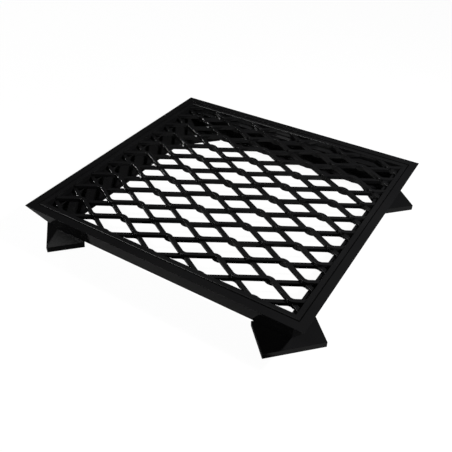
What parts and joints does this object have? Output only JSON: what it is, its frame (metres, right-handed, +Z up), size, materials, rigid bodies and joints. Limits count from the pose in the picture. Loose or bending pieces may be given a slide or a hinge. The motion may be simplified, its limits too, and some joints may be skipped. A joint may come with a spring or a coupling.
{
  "type": "fire pit with grate",
  "caption": "Low oblong steel fire pit, open below, with inward-sloping walls, flat plates across the corners as feet, and a lift-off grate of raised expanded metal.",
  "frame": {"origin": "on the ground, under the middle of the pit", "axes": "+Z up, +X along the long side, -Y the front"},
  "size_m": [0.6386, 0.5936, 0.08],
  "materials": {
    "pit_paint": "gloss black heat-resistant paint on steel sheet and plate",
    "grate_paint": "gloss black heat-resistant paint on expanded metal and flat bar"
  },
  "bodies": {
    "pit": {"rim_rail_front": "pit_paint", "rim_rail_right": "pit_paint", "rim_rail_back": "pit_paint", "rim_rail_left": "pit_paint", "wall_panel_front": "pit_paint", "wall_panel_right": "pit_paint", "wall_panel_back": "pit_paint", "wall_panel_left": "pit_paint", "ledge_rail_front": "pit_paint", "ledge_rail_right": "pit_paint", "ledge_rail_back": "pit_paint", "ledge_rail_left": "pit_paint", "foot_plate_front_left": "pit_paint", "foot_plate_back_left": "pit_paint", "foot_plate_front_right": "pit_paint", "foot_plate_back_right": "pit_paint"},
    "grate": {"grate_bar_front": "grate_paint", "grate_bar_right": "grate_paint", "grate_bar_back": "grate_paint", "grate_bar_left": "grate_paint", "expanded_mesh": "grate_paint"}
  },
  "joints": [
    {"name": "grate_lift", "type": "slide", "parent": "pit", "child": "grate", "axis": [0, 0, 1], "range_m": [0, 0.15]}
  ]
}
